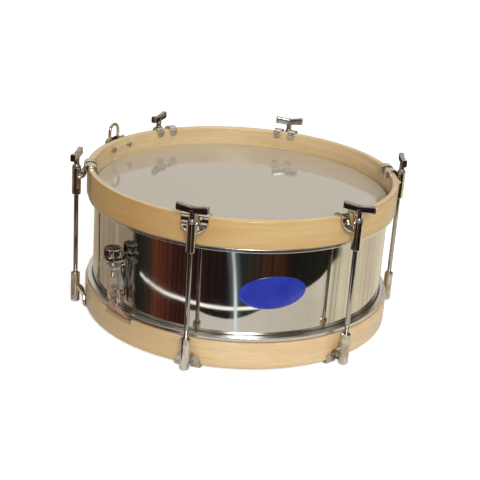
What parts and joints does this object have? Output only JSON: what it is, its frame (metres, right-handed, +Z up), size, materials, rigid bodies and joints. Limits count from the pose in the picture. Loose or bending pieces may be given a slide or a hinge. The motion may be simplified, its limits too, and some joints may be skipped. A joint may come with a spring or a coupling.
{
  "type": "snare drum",
  "caption": "Shallow marching snare drum: polished metal shell, wooden hoops, claw-held rods with T-handles, screw strainer, strap loop and snare strands under the lower head.",
  "frame": {"origin": "on the surface the drum stands on, in the middle of the drum", "axes": "+Z up along the drum's axis, -Y to the front, +X to the right seen from the front"},
  "size_m": [0.4119, 0.3885, 0.1986],
  "materials": {
    "polished_steel": "mirror polish",
    "varnished_wood": "gloss varnish",
    "head_film": "hazy gloss",
    "bright_aluminium": "bright",
    "chrome_fittings": "polished plate",
    "dark_chrome": "worn polish",
    "snare_cord": "twisted, waxed"
  },
  "bodies": {
    "drum": {"shell": "polished_steel", "top_head": "head_film", "bottom_head": "head_film", "top_flesh_hoop": "bright_aluminium", "bottom_flesh_hoop": "bright_aluminium", "top_wooden_hoop": "varnished_wood", "bottom_wooden_hoop": "varnished_wood", "snare_strands": "snare_cord", "upper_claw_1": "chrome_fittings", "upper_claw_2": "chrome_fittings", "upper_claw_3": "chrome_fittings", "upper_claw_4": "chrome_fittings", "upper_claw_5": "chrome_fittings", "upper_claw_6": "chrome_fittings", "lower_claw_1": "chrome_fittings", "lower_claw_2": "chrome_fittings", "lower_claw_3": "chrome_fittings", "lower_claw_4": "chrome_fittings", "lower_claw_5": "chrome_fittings", "lower_claw_6": "chrome_fittings", "strainer_bracket": "chrome_fittings", "strainer_screw_1": "chrome_fittings", "strainer_screw_2": "chrome_fittings", "strainer_nut_1": "chrome_fittings", "strainer_nut_2": "chrome_fittings", "butt_bracket": "chrome_fittings", "butt_screw_1": "chrome_fittings", "butt_screw_2": "chrome_fittings", "butt_nut_1": "chrome_fittings", "butt_nut_2": "chrome_fittings", "butt_clamp_plate": "chrome_fittings", "butt_clamp_screw": "chrome_fittings", "butt_clamp_nut": "chrome_fittings", "strap_loop": "chrome_fittings", "strap_loop_clamp": "chrome_fittings", "strap_loop_screw_1": "chrome_fittings", "strap_loop_screw_2": "chrome_fittings", "strap_loop_nut_1": "chrome_fittings", "strap_loop_nut_2": "chrome_fittings"},
    "rod_1": {"t_handle_1": "dark_chrome", "tension_rod_1": "chrome_fittings"},
    "rod_2": {"t_handle_2": "dark_chrome", "tension_rod_2": "chrome_fittings"},
    "rod_3": {"t_handle_3": "dark_chrome", "tension_rod_3": "chrome_fittings"},
    "rod_4": {"t_handle_4": "dark_chrome", "tension_rod_4": "chrome_fittings"},
    "rod_5": {"t_handle_5": "dark_chrome", "tension_rod_5": "chrome_fittings"},
    "rod_6": {"t_handle_6": "dark_chrome", "tension_rod_6": "chrome_fittings"},
    "strainer_adjuster": {"strainer_knob": "chrome_fittings", "strainer_adjusting_screw": "chrome_fittings"},
    "strainer_slider": {"strainer_carriage": "chrome_fittings", "strainer_clamp_plate": "chrome_fittings", "strainer_clamp_screw": "chrome_fittings", "strainer_clamp_nut": "chrome_fittings"}
  },
  "joints": [
    {"name": "rod_1_turn", "type": "hinge", "parent": "drum", "child": "rod_1", "pos_m": [-0.08509, -0.18, 0.1], "axis": [0, 0, 1], "continuous": true},
    {"name": "rod_2_turn", "type": "hinge", "parent": "drum", "child": "rod_2", "pos_m": [0.09653, -0.17414, 0.1], "axis": [0, 0, 1], "continuous": true},
    {"name": "rod_3_turn", "type": "hinge", "parent": "drum", "child": "rod_3", "pos_m": [0.1991, 0.00035, 0.1], "axis": [0, 0, 1], "continuous": true},
    {"name": "rod_4_turn", "type": "hinge", "parent": "drum", "child": "rod_4", "pos_m": [0.09286, 0.17612, 0.1], "axis": [0, 0, 1], "continuous": true},
    {"name": "rod_5_turn", "type": "hinge", "parent": "drum", "child": "rod_5", "pos_m": [-0.0854, 0.17985, 0.1], "axis": [0, 0, 1], "continuous": true},
    {"name": "rod_6_turn", "type": "hinge", "parent": "drum", "child": "rod_6", "pos_m": [-0.19904, 0.00486, 0.1], "axis": [0, 0, 1], "continuous": true},
    {"name": "strainer_knob_turn", "type": "hinge", "parent": "drum", "child": "strainer_adjuster", "pos_m": [-0.16079, -0.10402, 0.11], "axis": [0, 0, 1], "range_deg": [-1081, 1081]},
    {"name": "strainer_slide", "type": "slide", "parent": "drum", "child": "strainer_slider", "axis": [0, 0, 1], "range_m": [-0.003, 0.003]}
  ],
  "couplings": [
    {"joint": "strainer_knob_turn", "follows": "strainer_slide", "rad_per_m": -6283.2}
  ]
}
